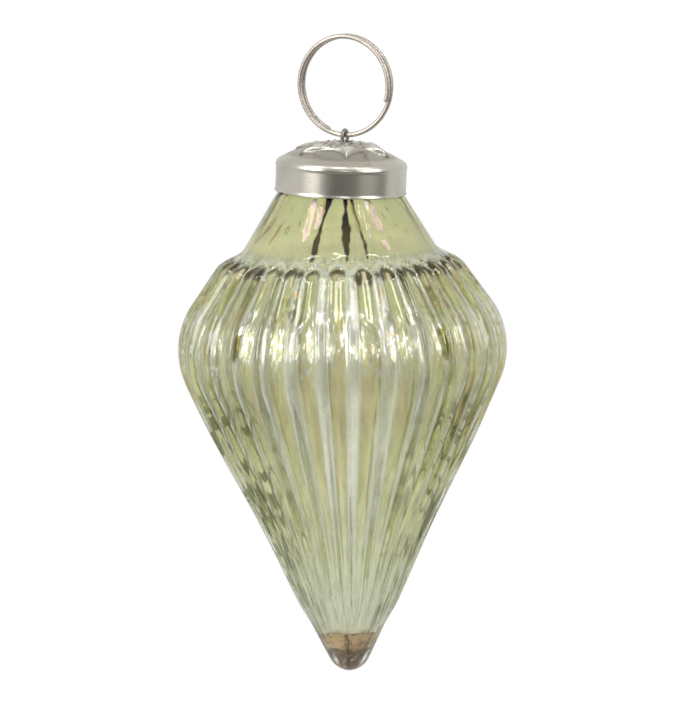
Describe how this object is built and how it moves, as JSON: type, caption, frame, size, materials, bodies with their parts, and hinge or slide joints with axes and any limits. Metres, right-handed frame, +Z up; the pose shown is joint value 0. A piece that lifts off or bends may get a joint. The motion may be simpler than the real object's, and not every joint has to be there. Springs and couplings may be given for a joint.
{
  "type": "christmas bauble",
  "caption": "Fluted glass bauble of drop shape, with a plain cone and tip, a pressed metal cap with a six-pointed star, a wire eyelet and a split ring to hang it by.",
  "frame": {"origin": "the point inside the top of the split ring where a hook bears, midway between the turns of wire", "axes": "+Z up along the hanging bauble; +Y along the axis of the split ring; +X to the right when looking along +Y"},
  "size_m": [0.0599, 0.0596, 0.1169],
  "materials": {
    "lustre_glass": "clear fluted glass with a pale yellow-green lustre inside",
    "dried_lacquer": "dried brown lacquer",
    "cap_metal": "pressed sheet with a satin nickel finish",
    "cement": "dull buff cement",
    "eyelet_wire": "drawn wire, dull",
    "ring_wire": "nickel-plated spring wire"
  },
  "bodies": {
    "split_ring": {"split_ring": "ring_wire"},
    "eyelet": {"eyelet": "eyelet_wire"},
    "bauble": {"glass_body": "lustre_glass", "tip_lacquer": "dried_lacquer", "cap": "cap_metal", "cap_cement": "cement"}
  },
  "joints": [
    {"name": "eyelet_swing", "type": "hinge", "parent": "split_ring", "child": "eyelet", "pos_m": [0, 0, -0.01735], "axis": [1, 0, 0], "range_deg": [-90, 48]},
    {"name": "cap_swivel", "type": "hinge", "parent": "eyelet", "child": "bauble", "pos_m": [0, 0, -0.0184], "axis": [0, 0, 1], "continuous": true}
  ]
}
